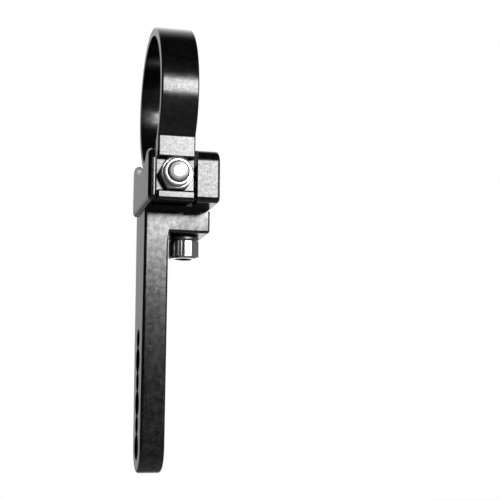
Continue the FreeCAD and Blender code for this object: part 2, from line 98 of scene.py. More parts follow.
def side_sheet(x):
    """A sheet across X that is seen from the right: points are the frame's y and z."""
    return Sheet((x, 0, 0), (0, 1, 0), (0, 0, 1))


def arc(centre, degrees, steps):
    return {"centre": centre, "angle": math.radians(degrees), "steps": steps}


def turned_about(pair, centre, angle):
    a, b = pair[0] - centre[0], pair[1] - centre[1]
    return (
        centre[0] + a * math.cos(angle) - b * math.sin(angle),
        centre[1] + a * math.sin(angle) + b * math.cos(angle),
    )


def clear_bench():
    """Leaves edit mode and deselects everything, so that an operator works on its own piece."""
    if bpy.context.object and bpy.context.object.mode == "EDIT":
        bpy.ops.object.mode_set(mode="OBJECT")
    bpy.ops.object.select_all(action="DESELECT")


def draw(name, sheet, start, strokes):
    """Draws a closed outline. A stroke is a pair for a line, or an arc. Stays in edit mode."""
    clear_bench()
    bpy.ops.mesh.primitive_plane_add(size=MM)
    piece = bpy.context.object
    piece.name = piece.data.name = name
    bpy.ops.object.mode_set(mode="EDIT")
    bpy.ops.mesh.select_mode(type="VERT")
    bpy.ops.mesh.merge(type="CENTER")
    bpy.ops.transform.translate(value=sheet.point(start))
    pen = start
    for stroke in strokes:
        if isinstance(stroke, dict):
            centre, angle = stroke["centre"], stroke["angle"]
            bpy.ops.mesh.spin(
                steps=stroke["steps"], angle=-angle, center=sheet.point(centre), axis=sheet.normal)
            pen = turned_about(pen, centre, angle)
        else:
            step = sheet.point(stroke) - sheet.point(pen)
            bpy.ops.mesh.extrude_vertices_move(TRANSFORM_OT_translate={"value": step})
            pen = stroke
    bpy.ops.mesh.select_all(action="SELECT")
    bpy.ops.mesh.remove_doubles(threshold=MERGE_GAP)
    return piece


def tidy_shell():
    """Merges what meets and turns all the faces outwards. Works in edit mode, on all of it."""
    bpy.ops.mesh.select_all(action="SELECT")
    bpy.ops.mesh.remove_doubles(threshold=MERGE_GAP)
    bpy.ops.mesh.normals_make_consistent(inside=False)


def pull(step):
    """Fills the outline that was just drawn and pulls it out to a closed bar."""
    bpy.ops.mesh.edge_face_add()
    bpy.ops.mesh.extrude_region_move(TRANSFORM_OT_translate={"value": Vector(step) * MM})
    tidy_shell()


def turned(name, sheet, start, strokes, steps=TURNED_STEPS):
    """A piece turned about the sheet's upright axis from a half section."""
    piece = draw(name, sheet, start, strokes)
    bpy.ops.mesh.spin(
        steps=steps, angle=math.tau, center=sheet.origin * MM, axis=sheet.up, use_auto_merge=True)
    tidy_shell()
    bpy.ops.object.mode_set(mode="OBJECT")
    return piece


print("pencil ready")

# %% [markdown]
# A real edge is never quite sharp, and the soft light shows it: each edge of the bracket carries a
# thin line of light or dark. Large roundings are bevels on edges that are picked by their place,
# and the last small ones come from a Bevel modifier that takes every edge that is still sharp.
# Holes and channels are cut with tools, as in a workshop. Weighted normals then keep the flat faces
# flat, so that the roundings shade smoothly and a flat face reflects like a flat one.

# %% Edges, cuts and shading
SAME_PLACE = 0.01
KEEN_ANGLE = math.radians(40)
ROUND_PROFILE = 0.5
SOFT_STEPS = 2
SHADE_ANGLE = 42
FLAT_WEIGHT = 100
DRILL_SIDES = 64
ALONG_Y, ALONG_Z = (math.pi / 2, 0, 0), (0, 0, 0)


def near(first, second):
    return abs(first - second) < SAME_PLACE


def along_x(first, last, y, z):
    """True for an edge along X at the given y and z."""
    return all(near(end.y, y) and near(end.z, z) for end in (first, last))


def in_plane_x(first, last, *places):
    return any(near(first.x, x) and near(last.x, x) for x in places)


def pick_edges(piece, wanted):
    """Selects the edges whose two ends, in millimetres, pass the test. Works in edit mode."""
    bpy.ops.mesh.select_mode(type="EDGE")
    bpy.ops.mesh.select_all(action="DESELECT")
    shell = bmesh.from_edit_mesh(piece.data)
    for edge in shell.edges:
        first, last = (corner.co / MM for corner in edge.verts)
        if wanted(first, last):
            edge.select_set(True)
    bmesh.update_edit_mesh(piece.data)
    return sum(edge.select for edge in shell.edges)


def pick_faces(piece, wanted):
    """Selects the faces whose middle, in millimetres, passes the test. Works in edit mode."""
    bpy.ops.mesh.select_mode(type="FACE")
    bpy.ops.mesh.select_all(action="DESELECT")
    shell = bmesh.from_edit_mesh(piece.data)
    for face in shell.faces:
        if wanted(face.calc_center_median() / MM):
            face.select_set(True)
    bmesh.update_edit_mesh(piece.data)


def round_picked(width, steps):
    bpy.ops.mesh.bevel(
        offset=width * MM, offset_type="OFFSET", segments=steps, profile=ROUND_PROFILE,
        affect="EDGES")
    tidy_shell()


def round_edges(piece, width, steps, wanted):
    count = pick_edges(piece, wanted)
    round_picked(width, steps)
    print(" ", piece.name, "rounds", count, "edges by", width, "mm")


def only(piece):
    """Makes the piece the one that operators work on."""
    clear_bench()
    bpy.context.view_layer.objects.active = piece
    piece.select_set(True)


def bar(name, place, radius, length, lean, sides=DRILL_SIDES):
    """A round or six-sided bar with its middle at the given place, as stock or as a tool."""
    clear_bench()
    bpy.ops.mesh.primitive_cylinder_add(
        vertices=sides, radius=radius * MM, depth=length * MM,
        location=Vector(place) * MM, rotation=lean)
    piece = bpy.context.object
    piece.name = piece.data.name = name
    return piece


def corner_radius(flats):
    """The radius to the corners of a hexagon with the given width across its flats."""
    return flats / 2 / math.cos(math.pi / 6)


def combine(piece, tool, how):
    """Cuts the piece with a tool, or joins the two, and throws the tool away."""
    only(piece)
    change = piece.modifiers.new("combine", "BOOLEAN")
    change.operation = how
    change.solver = "EXACT"
    change.object = tool
    bpy.ops.object.modifier_apply(modifier=change.name)
    bpy.data.meshes.remove(tool.data)


def soften(piece, width):
    """Takes the sharpness off every edge that is still keen."""
    only(piece)
    wear = piece.modifiers.new("soften", "BEVEL")
    wear.width = width * MM
    wear.segments = SOFT_STEPS
    wear.limit_method = "ANGLE"
    wear.angle_limit = KEEN_ANGLE
    bpy.ops.object.modifier_apply(modifier=wear.name)


def finish_piece(piece, node, keen=SHADE_ANGLE):
    """Shades the piece, leaves edges over the keen angle sharp, and lets it stand for its solid."""
    only(piece)
    bpy.ops.object.shade_smooth_by_angle(angle=math.radians(keen))
    weigh = piece.modifiers.new("weigh", "WEIGHTED_NORMAL")
    weigh.weight = FLAT_WEIGHT
    weigh.keep_sharp = True
    bpy.ops.object.modifier_apply(modifier=weigh.name)
    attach(piece, "root")
    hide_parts(node)
    print(piece.name, "has", len(piece.data.polygons), "faces")


print("edge tools ready")

# %% [markdown]
# The strap is one strip of metal. Its thick lug stands in front, the loop goes up from it and right
# round the fork tube, and the tail turns down behind the lug. Seen from the side it is one closed
# line, so it is drawn in one go: up the lug with the round-edged slot that holds the nut, round the
# outside of the loop, down and up the tail, and back round the inside. The bend above the lug is a
# soft crease. The loop is drawn a hair under the solid's 24.3 mm, to stay inside the solid's box.

# %% Strap outline
FORK_AXIS = (0, 0)
FORK_RADIUS = 21.5
STRAP_RADIUS = 24.297
STRAP_HALF = 5.9
FRONT = -18.93
LUG_BACK = -13.93
TAIL_FRONT, TAIL_BACK = -12.03, -9.23
LUG_END, TAIL_END = -35.7, -34.7
STUD_Z = -27.4
SLOT_HALF, SLOT_DEPTH, SLOT_ROUND = 5.1, 2.5, 0.7
CREASE_RADIUS = 1.5
SLOT_STEPS, CREASE_STEPS, LOOP_STEPS = 6, 8, 144


def below_on_circle(y, radius):
    return (y, -math.sqrt(radius**2 - y**2))


def bearing(pair):
    return math.degrees(math.atan2(pair[1], pair[0])) % 360


crease_reach = STRAP_RADIUS + CREASE_RADIUS
crease_centre = below_on_circle(FRONT - CREASE_RADIUS, crease_reach)
crease_turn = bearing(crease_centre) - 180
crease_top = [part * STRAP_RADIUS / crease_reach for part in crease_centre]
tail_root = below_on_circle(TAIL_BACK, STRAP_RADIUS)
tail_lip = below_on_circle(TAIL_FRONT, FORK_RADIUS)
lug_root = below_on_circle(LUG_BACK, FORK_RADIUS)
outside_turn = bearing(tail_root) - 360 - bearing(crease_top)
inside_turn = bearing(lug_root) + 360 - bearing(tail_lip)

slot_top, slot_bottom = STUD_Z + SLOT_HALF, STUD_Z - SLOT_HALF
slot_floor, slot_edge = FRONT + SLOT_DEPTH, FRONT + SLOT_ROUND
strap = draw("strap_loop", side_sheet(-STRAP_HALF), (FRONT, LUG_END), [
    (FRONT, slot_bottom - SLOT_ROUND),
    arc((slot_edge, slot_bottom - SLOT_ROUND), -90, SLOT_STEPS),
    (slot_floor, slot_bottom),
    (slot_floor, slot_top),
    (slot_edge, slot_top),
    arc((slot_edge, slot_top + SLOT_ROUND), -90, SLOT_STEPS),
    (FRONT, crease_centre[1]),
    arc(crease_centre, crease_turn, CREASE_STEPS),
    arc(FORK_AXIS, outside_turn, LOOP_STEPS),
    (TAIL_BACK, TAIL_END),
    (TAIL_FRONT, TAIL_END),
    tail_lip,
    arc(FORK_AXIS, inside_turn, LOOP_STEPS),
    (LUG_BACK, LUG_END),
    (FRONT, LUG_END),
])
pull((2 * STRAP_HALF, 0, 0))
print("the loop turns", round(-outside_turn), "degrees outside")

# %% [markdown]
# The strap's lower lip and its long outer edges are rounded, and the inner edges stay almost
# square. Bevelling every edge would be quicker, but would round the inside too. So the outer edges
# are picked by their place: on the loop's circle, or along the lug's front up to the crease.

# %% Strap roundings
LIP_WIDTH, LIP_STEPS = 1.0, 6
STRAP_EDGE, STRAP_EDGE_STEPS = 0.6, 4
LOOP_PLAY, LIP_PLAY, CREASE_PLAY = 0.15, 0.05, 0.3


def strap_outer_edge(first, last):
    """The long edges of the loop's outside and of the lug's front, with what lies between."""
    ends = (first, last)
    on_loop = all(abs(math.hypot(end.y, end.z) - STRAP_RADIUS) < LOOP_PLAY for end in ends)
    on_lug = all(
        end.y < FRONT + LIP_WIDTH + LIP_PLAY and end.z < crease_top[1] + CREASE_PLAY
        for end in ends)
    return in_plane_x(first, last, -STRAP_HALF, STRAP_HALF) and (on_loop or on_lug)


round_edges(strap, LIP_WIDTH, LIP_STEPS, lambda a, b: along_x(a, b, FRONT, LUG_END))
round_edges(strap, STRAP_EDGE, STRAP_EDGE_STEPS, strap_outer_edge)

# %% [markdown]
# The stud passes through the lug and the tail with a little play. A drill cuts both at once, after
# the roundings, so that the rim of the hole stays clean. Then the last keen edges are softened.

# %% Strap hole
STUD_HOLE_RADIUS = 3.2
DRILL_LENGTH = 30
STRAP_SOFT = 0.18

stud_drill = bar("stud_drill", (0, FRONT, STUD_Z), STUD_HOLE_RADIUS, DRILL_LENGTH, ALONG_Y)
combine(strap, stud_drill, "DIFFERENCE")
soften(strap, STRAP_SOFT)
finish_piece(strap, "fork_strap")

# %% [markdown]
# The saddle block is a milled bar. Its top is hollowed to fit the tube, and a deep channel between
# a thin cheek and a thick one takes the strap. It could be assembled from three slices, but then
# the slices would show seams. Instead the whole outline is drawn and pulled once.

# %% Block outline
SADDLE_RADIUS, SADDLE_STEPS = 22.9, 40
BLOCK_TOP, BLOCK_BOTTOM = -18.9, -35.9
BLOCK_BACK = 17.53
THIN_SIDE, THICK_SIDE = -8.7, 13.9

mouth = math.sqrt(SADDLE_RADIUS**2 - BLOCK_TOP**2)
saddle_turn = 2 * math.degrees(math.atan2(mouth, -BLOCK_TOP))
block = draw("saddle_block_milled", side_sheet(THIN_SIDE), (FRONT, BLOCK_BOTTOM), [
    (FRONT, BLOCK_TOP),
    (-mouth, BLOCK_TOP),
    arc(FORK_AXIS, saddle_turn, SADDLE_STEPS),
    (BLOCK_BACK, BLOCK_TOP),
    (BLOCK_BACK, BLOCK_BOTTOM),
    (FRONT, BLOCK_BOTTOM),
])
pull((THICK_SIDE - THIN_SIDE, 0, 0))
print("the saddle spans", round(saddle_turn), "degrees")

# %% [markdown]
# Each corner of the block has its own radius, wide at the front of the top and small at the
# saddle's mouth. These come first, because the rims of the two sides then run round them in one
# smooth line. A bottom corner is wider than the rim that follows it, so the rim doesn't fold there.

# %% Block roundings
HORN_WIDTH, HORN_STEPS = 0.5, 5
THIN_RIM, THIN_STEPS = 1.5, 6
THICK_RIM, THICK_STEPS = 1.1, 5
BLOCK_CORNERS = (  # width, steps, y and z
    (4.3, 12, FRONT, BLOCK_TOP),
    (3.0, 9, BLOCK_BACK, BLOCK_TOP),
    (1.7, 6, FRONT, BLOCK_BOTTOM),
    (2.0, 7, BLOCK_BACK, BLOCK_BOTTOM),
    (HORN_WIDTH, HORN_STEPS, -mouth, BLOCK_TOP),
    (HORN_WIDTH, HORN_STEPS, mouth, BLOCK_TOP),
)

for width, steps, y, z in BLOCK_CORNERS:
    round_edges(block, width, steps, lambda a, b: along_x(a, b, y, z))
round_edges(block, THIN_RIM, THIN_STEPS, lambda a, b: in_plane_x(a, b, THIN_SIDE))
round_edges(block, THICK_RIM, THICK_STEPS, lambda a, b: in_plane_x(a, b, THICK_SIDE))

# %% [markdown]
# The channel is milled out last. Its tool has the channel's own outline: the bed on which the loop
# lies, and the straight face in front of it, behind the tail. Two drills make the bores for the
# stud and for the arm's screw.

# %% Block channel and holes
CHANNEL_HALF = 6.7
BED_TURN, BED_STEPS = 75, 60
TOOL_REACH, TOOL_BOTTOM = 40, -50
BOLT_RADIUS = 3.0
STUD_ROOT, STUD_BORE_LENGTH = -2.23, 10
SCREW_X, ARM_MIDDLE = 7.2, 7.53
SCREW_BORE_MIDDLE, SCREW_BORE_LENGTH = -35, 17.4
BLOCK_SOFT = 0.22

bed_end = turned_about(tail_root, FORK_AXIS, math.radians(BED_TURN))
channel = draw("channel_tool", side_sheet(-CHANNEL_HALF), (TAIL_BACK, TOOL_BOTTOM), [
    tail_root,
    arc(FORK_AXIS, BED_TURN, BED_STEPS),
    (TOOL_REACH, bed_end[1]),
    (TOOL_REACH, 0),
    (-TOOL_REACH, 0),
    (-TOOL_REACH, TOOL_BOTTOM),
    (TAIL_BACK, TOOL_BOTTOM),
])
pull((2 * CHANNEL_HALF, 0, 0))
combine(block, channel, "DIFFERENCE")
stud_bore_place = (0, STUD_ROOT - STUD_BORE_LENGTH / 2, STUD_Z)
screw_bore_place = (SCREW_X, ARM_MIDDLE, SCREW_BORE_MIDDLE)
for name, place, length, lean in (
    ("stud_bore", stud_bore_place, STUD_BORE_LENGTH, ALONG_Y),
    ("screw_bore", screw_bore_place, SCREW_BORE_LENGTH, ALONG_Z),
):
    combine(block, bar(name, place, BOLT_RADIUS, length, lean), "DIFFERENCE")
soften(block, BLOCK_SOFT)
finish_piece(block, "saddle_block")

# %% [markdown]
# The arm is one L-shaped bar: a short foot under the block, and a long flat leg that narrows to a
# round end. The leg's outline is drawn from the side and pulled to the leg's thickness. A bisect
# line then splits off the top of its inner face, and that part alone is pulled on to make the foot.

# %% Arm outline
ARM_HALF_DEPTH = 10.0
ARM_FRONT, ARM_BACK = ARM_MIDDLE - ARM_HALF_DEPTH, ARM_MIDDLE + ARM_HALF_DEPTH
LEG_OUTER, LEG_INNER, FOOT_END = -7.3, 0.6, 14.1
FOOT_BOTTOM = -43.1
LEG_RADIUS, LEG_ROUND, LEG_STEPS = 8.3, -111.7, 60

taper_height = BLOCK_BOTTOM - LEG_ROUND
to_corner = math.atan2(taper_height, ARM_HALF_DEPTH)
to_tangent = to_corner - math.acos(LEG_RADIUS / math.hypot(taper_height, ARM_HALF_DEPTH))
touch_y = LEG_RADIUS * math.cos(to_tangent)
touch_z = LEG_ROUND + LEG_RADIUS * math.sin(to_tangent)
arm = draw("lamp_arm_bar", side_sheet(LEG_OUTER), (ARM_FRONT, BLOCK_BOTTOM), [
    (ARM_MIDDLE - touch_y, touch_z),
    arc((ARM_MIDDLE, LEG_ROUND), 180 + 2 * math.degrees(to_tangent), LEG_STEPS),
    (ARM_BACK, BLOCK_BOTTOM),
    (ARM_FRONT, BLOCK_BOTTOM),
])
pull((LEG_INNER - LEG_OUTER, 0, 0))
pick_faces(arm, lambda middle: near(middle.x, LEG_INNER))
bpy.ops.mesh.bisect(plane_co=(0, 0, FOOT_BOTTOM * MM), plane_no=(0, 0, 1))
pick_faces(arm, lambda middle: near(middle.x, LEG_INNER) and middle.z > FOOT_BOTTOM)
foot_step = ((FOOT_END - LEG_INNER) * MM, 0, 0)
bpy.ops.mesh.extrude_region_move(TRANSFORM_OT_translate={"value": foot_step})
tidy_shell()
print("the leg narrows from", 2 * ARM_HALF_DEPTH, "to", 2 * LEG_RADIUS, "mm")

# %% [markdown]
# The corner between foot and leg is filled with a small round, as a milling cutter leaves it. All
# the rims of the bar are rounded too, apart from the edge of the face that lies against the block.
# The sharp edges are found by their angle, because the leg's outline has too many to name.

# %% Arm roundings
ARM_CORNER, ARM_CORNER_STEPS = 0.8, 5
ARM_RIM, ARM_RIM_STEPS = 0.9, 5


def arm_inner_corner(first, last):
    at_foot = near(first.z, FOOT_BOTTOM) and near(last.z, FOOT_BOTTOM)
    return at_foot and in_plane_x(first, last, LEG_INNER)


def against_block(edge):
    return all(near(end.co.z / MM, BLOCK_BOTTOM) for end in edge.verts)


round_edges(arm, ARM_CORNER, ARM_CORNER_STEPS, arm_inner_corner)
bpy.ops.mesh.select_mode(type="EDGE")
bpy.ops.mesh.select_all(action="DESELECT")
bpy.ops.mesh.edges_select_sharp(sharpness=KEEN_ANGLE)
shell = bmesh.from_edit_mesh(arm.data)
rims = [edge for edge in shell.edges if edge.select and not against_block(edge)]
bpy.ops.mesh.select_all(action="DESELECT")
for edge in rims:
    edge.select_set(True)
bmesh.update_edit_mesh(arm.data)
round_picked(ARM_RIM, ARM_RIM_STEPS)
bpy.ops.object.mode_set(mode="OBJECT")
print("rounded", len(rims), "rim edges of the arm")

# %% [markdown]
# Wide and narrow holes follow each other down the leg and run into one another, so the lamp's bolt
# can sit at several heights. Six drills that overlap would leave slivers where their walls cross.
# One tool with the outline of the whole chain cuts it cleanly: arcs up the right side, round the
# top hole, and down the left.

# %% Arm holes
BIG_RADIUS, SMALL_RADIUS = 4.2, 3.2
HOLE_STEP, HOLE_PAIRS = 6.9, 3
LOWEST_STEPS, BETWEEN_STEPS, HIGHEST_STEPS = 60, 24, 56
CHAIN_SIDE, CHAIN_LENGTH = -12, 20
FOOT_HOLE_RADIUS = 3.3
ARM_SOFT = 0.2

to_crossing = (BIG_RADIUS**2 - SMALL_RADIUS**2 + HOLE_STEP**2) / (2 * HOLE_STEP)
half_neck = math.sqrt(BIG_RADIUS**2 - to_crossing**2)
big_turn = 2 * math.degrees(math.atan2(to_crossing, half_neck))
small_turn = 2 * math.degrees(math.atan2(HOLE_STEP - to_crossing, half_neck))
holes = []
for pair in range(HOLE_PAIRS):
    bottom = LEG_ROUND + 2 * pair * HOLE_STEP
    holes += [((ARM_MIDDLE, bottom), big_turn), ((ARM_MIDDLE, bottom + HOLE_STEP), small_turn)]
lowest, between, highest = holes[0], holes[1:-1], holes[-1]
chain = [arc(lowest[0], 180 + lowest[1], LOWEST_STEPS)]
chain += [arc(centre, span, BETWEEN_STEPS) for centre, span in between]
chain += [arc(highest[0], 180 + highest[1], HIGHEST_STEPS)]
chain += [arc(centre, span, BETWEEN_STEPS) for centre, span in reversed(between)]
chain_start = (ARM_MIDDLE - half_neck, LEG_ROUND + to_crossing)
chain_tool = draw("hole_chain_tool", side_sheet(CHAIN_SIDE), chain_start, chain)
pull((CHAIN_LENGTH, 0, 0))
combine(arm, chain_tool, "DIFFERENCE")
foot_place = (SCREW_X, ARM_MIDDLE, FOOT_BOTTOM)
foot_drill = bar("foot_drill", foot_place, FOOT_HOLE_RADIUS, DRILL_LENGTH, ALONG_Z)
combine(arm, foot_drill, "DIFFERENCE")
soften(arm, ARM_SOFT)
finish_piece(arm, "lamp_arm")

# %% [markdown]
# The stud and the screw carry the same thread. It could be faked with a bump, but the tip that
# stands out of the nut is seen from close by. So a zigzag line one pitch high is wound up by the
# Screw modifier, and bisect cuts both ends flat. The modifier winds about the piece's own origin,
# so the rod is wound there and moved to its axis afterwards.

# %% Thread
THREAD_DEPTH = 0.5
PITCH = 1.0
CREST_START, CREST_END, FLANK_END = 0.42, 0.54, 0.92
LEAD_IN, SPARE_TURNS = 1.011, 3
THREAD_STEPS = 40
THREAD_SPARE = 1


def wind_thread(name, sheet, axis, low, high):
    """A threaded rod between two heights of the sheet, wound about the sheet's upright axis."""
    bench = Sheet((0, 0, 0), sheet.across, sheet.up)
    inner = BOLT_RADIUS - THREAD_DEPTH
    first = low - LEAD_IN * PITCH
    rod = draw(name, bench, (inner, first), [
        (BOLT_RADIUS, first + CREST_START * PITCH),
        (BOLT_RADIUS, first + CREST_END * PITCH),
        (inner, first + FLANK_END * PITCH),
        (inner, first + PITCH),
    ])
    bpy.ops.object.mode_set(mode="OBJECT")
    winding = rod.modifiers.new("winding", "SCREW")
    winding.axis = axis
    winding.angle = math.tau
    winding.screw_offset = PITCH * MM
    winding.iterations = int((high - low) / PITCH) + SPARE_TURNS
    winding.steps = winding.render_steps = THREAD_STEPS
    winding.use_merge_vertices = True
    winding.merge_threshold = MERGE_GAP
    bpy.ops.object.modifier_apply(modifier=winding.name)
    bpy.ops.object.mode_set(mode="EDIT")
    for height, outwards in ((low, -bench.up), (high, bench.up)):
        bpy.ops.mesh.select_all(action="SELECT")
        bpy.ops.mesh.bisect(
            plane_co=bench.point((0, height)), plane_no=outwards, use_fill=True, clear_outer=True)
    tidy_shell()
    bpy.ops.transform.translate(value=sheet.origin * MM)
    bpy.ops.object.mode_set(mode="OBJECT")
    return rod


print("thread of", PITCH, "mm pitch ready")

# %% [markdown]
# The stud is a length of threaded rod that is screwed into the block, and the nut draws the strap
# along it. Its ends are turned in a lathe: the tip to a small flat with a soft bend and a shallow
# cone, the hidden root to a steeper cone. Here a turned body with that outline is laid over the
# rod, and only what lies inside it is kept. It clears the thread, so that no walls coincide.

# %% Stud
STUD_TIP = -23.43
TIP_FLAT, TIP_ROUND, TIP_LEAN, TIP_STEPS = 1.6, 0.8, 16, 8
END_CONE = 0.8
STUD_PLAY = 0.1

stud_axis = Sheet((0, 0, STUD_Z), (1, 0, 0), (0, 1, 0))
stud = wind_thread(
    "threaded_stud", stud_axis, "Y", STUD_TIP - THREAD_SPARE, STUD_ROOT + THREAD_SPARE)
clear_radius = BOLT_RADIUS + STUD_PLAY
lean = math.radians(TIP_LEAN)
cone_run = clear_radius - TIP_FLAT - TIP_ROUND * math.sin(lean)
cone_top = STUD_TIP + TIP_ROUND * (1 - math.cos(lean)) + cone_run * math.tan(lean)
envelope = turned("stud_envelope", stud_axis, (0, STUD_TIP), [
    (TIP_FLAT, STUD_TIP),
    arc((TIP_FLAT, STUD_TIP + TIP_ROUND), TIP_LEAN, TIP_STEPS),
    (clear_radius, cone_top),
    (clear_radius, STUD_ROOT - END_CONE - STUD_PLAY),
    (BOLT_RADIUS - END_CONE, STUD_ROOT),
    (0, STUD_ROOT),
])
combine(stud, envelope, "INTERSECT")
finish_piece(stud, "clamp_stud")

# %% [markdown]
# The lock nut is a hexagon with a round crown. The crown is rolled inwards over a ring of nylon,
# which grips the thread. On the real nut the hexagon is bar stock and all the rest is turned. It is
# made here in the same way: a tall six-sided bar is cut to a body that is turned from one half
# section, with the bore, the coned corners, the round shoulder, the crown and its rolled lip.

# %% Lock nut
NUT_FLATS, NUT_HEIGHT = 10.0, 6.0
NUT_TURN = (math.pi / 2, math.pi / 6, 0)
NUT_EDGE, NUT_EDGE_STEPS = 0.25, 3
NUT_KEEN = 25
SEAT_CONE = ((5.1, 0), (5.9, 0.4))
CORNER_CONE = ((5.9, 2.4), (5.15, 3.7))
SHOULDER_CENTRE, SHOULDER_TURN, SHOULDER_STEPS = (4.717, 3.45), 60, 8
SHOULDER_HEIGHT = 3.95
CROWN_RADIUS, MOUTH_RADIUS = 4.5, 3.548
ROLL_CENTRE, ROLL_TURN, ROLL_STEPS = (4.15, 5.55), 70, 7
DOME_CENTRE, DOME_TURN, DOME_STEPS = (3.583, 3.992), 21, 5
INSERT_RADIUS, INSERT_FLOOR, INSERT_TOP = 3.7, 4.2, 5.6

nut_sheet = Sheet((0, slot_floor, STUD_Z), (1, 0, 0), (0, -1, 0))
nut_middle = (0, slot_floor - NUT_HEIGHT / 2, STUD_Z)
nut = bar(
    "lock_nut_rolled", nut_middle, corner_radius(NUT_FLATS), 2 * NUT_HEIGHT, NUT_TURN, sides=6)
bpy.ops.object.transform_apply(location=True, rotation=True, scale=True)
bpy.ops.object.mode_set(mode="EDIT")
round_edges(nut, NUT_EDGE, NUT_EDGE_STEPS, lambda a, b: not near(a.y, b.y))
nut_body = turned("nut_body", nut_sheet, (BOLT_RADIUS, 0), [
    *SEAT_CONE,
    *CORNER_CONE,
    arc(SHOULDER_CENTRE, SHOULDER_TURN, SHOULDER_STEPS),
    (CROWN_RADIUS, SHOULDER_HEIGHT),
    (CROWN_RADIUS, ROLL_CENTRE[1]),
    arc(ROLL_CENTRE, ROLL_TURN, ROLL_STEPS),
    arc(DOME_CENTRE, DOME_TURN, DOME_STEPS),
    (MOUTH_RADIUS, INSERT_TOP),
    (INSERT_RADIUS, INSERT_TOP),
    (INSERT_RADIUS, INSERT_FLOOR),
    (BOLT_RADIUS, INSERT_FLOOR),
    (BOLT_RADIUS, 0),
])
combine(nut, nut_body, "INTERSECT")
finish_piece(nut, "lock_nut", keen=NUT_KEEN)

# %% [markdown]
# The ring is what makes the nut a lock nut: plain nylon that grips the thread, held by the rolled
# lip. On the real nut it is squeezed by the thread, and here the two just meet. Only its worn inner
# edge shows, so it is turned from a small section with that one edge rounded.

# %% Nylon ring
RING_EDGE, RING_STEPS = 0.2, 4

ring = turned("nylon_ring", nut_sheet, (BOLT_RADIUS, INSERT_FLOOR), [
    (INSERT_RADIUS, INSERT_FLOOR),
    (INSERT_RADIUS, INSERT_TOP),
    (BOLT_RADIUS + RING_EDGE, INSERT_TOP),
    arc((BOLT_RADIUS + RING_EDGE, INSERT_TOP - RING_EDGE), 90, RING_STEPS),
    (BOLT_RADIUS, INSERT_FLOOR),
])
finish_piece(ring, "nut_insert")

# %% [markdown]
# A split washer under the screw's head keeps it from working loose. It is springy steel that was
# slit on the slant. Here it is turned from a section with worn edges, and a leaning tool cuts the
# slit on one side.

# %% Split washer
WASHER_TOP, WASHER_BOTTOM = FOOT_BOTTOM, -44.7
WASHER_RADIUS, WASHER_EDGE, WASHER_STEPS = 4.95, 0.45, 6
WASHER_HOLE, WASHER_HOLE_EDGE, WASHER_HOLE_STEPS = 3.1, 0.2, 3
SLIT_WIDTH, SLIT_LEAN, SLIT_LENGTH = 0.9, 25, 10
SLIT_LOW, SLIT_HIGH = -1, 2.6

screw_axis = Sheet((SCREW_X, ARM_MIDDLE, 0), (1, 0, 0), (0, 0, 1))
inside, outside = WASHER_HOLE + WASHER_HOLE_EDGE, WASHER_RADIUS - WASHER_EDGE
washer = turned("split_washer", screw_axis, (WASHER_HOLE, WASHER_BOTTOM + WASHER_HOLE_EDGE), [
    arc((inside, WASHER_BOTTOM + WASHER_HOLE_EDGE), 90, WASHER_HOLE_STEPS),
    (outside, WASHER_BOTTOM),
    arc((outside, WASHER_BOTTOM + WASHER_EDGE), 90, WASHER_STEPS),
    (WASHER_RADIUS, WASHER_TOP - WASHER_EDGE),
    arc((outside, WASHER_TOP - WASHER_EDGE), 90, WASHER_STEPS),
    (inside, WASHER_TOP),
    arc((inside, WASHER_TOP - WASHER_HOLE_EDGE), 90, WASHER_HOLE_STEPS),
    (WASHER_HOLE, WASHER_BOTTOM + WASHER_HOLE_EDGE),
])
slit_sheet = Sheet((SCREW_X, ARM_MIDDLE, WASHER_BOTTOM), (1, 0, 0), (0, 0, 1))
slope = math.tan(math.radians(SLIT_LEAN))
low_x, high_x = SLIT_LOW * slope, SLIT_HIGH * slope
slit = draw("slit_tool", slit_sheet, (low_x, SLIT_LOW), [
    (SLIT_WIDTH + low_x, SLIT_LOW),
    (SLIT_WIDTH + high_x, SLIT_HIGH),
    (high_x, SLIT_HIGH),
    (low_x, SLIT_LOW),
])
pull((0, SLIT_LENGTH, 0))
combine(washer, slit, "DIFFERENCE")
finish_piece(washer, "spring_washer")

# %% [markdown]
# The socket-head screw holds the arm under the block. The head is turned with a rounded rim, and a
# six-sided bar cuts its socket. The shank gets the same wound thread as the stud, with a cone at
# its end, and is joined to the head.

# %% Socket-head screw
SCREW_TIP = -28.7
SHANK_PLAY, SHANK_IN_HEAD = 0.02, 1
HEAD_SEAT, HEAD_END = WASHER_BOTTOM, -50.7
HEAD_RADIUS, HEAD_STEPS = 5.0, 128
HEAD_RIM, HEAD_RIM_STEPS = 0.75, 8
SEAT_RIM, SEAT_RIM_STEPS = 0.3, 5
SOCKET_FLATS, SOCKET_DEPTH = 5.0, 3
SOCKET_EDGE, SOCKET_EDGE_STEPS, SOCKET_REACH = 0.2, 2, 3


def socket_mouth(first, last):
    return all(
        near(end.z, HEAD_END) and math.hypot(end.x - SCREW_X, end.y - ARM_MIDDLE) < SOCKET_REACH
        for end in (first, last))


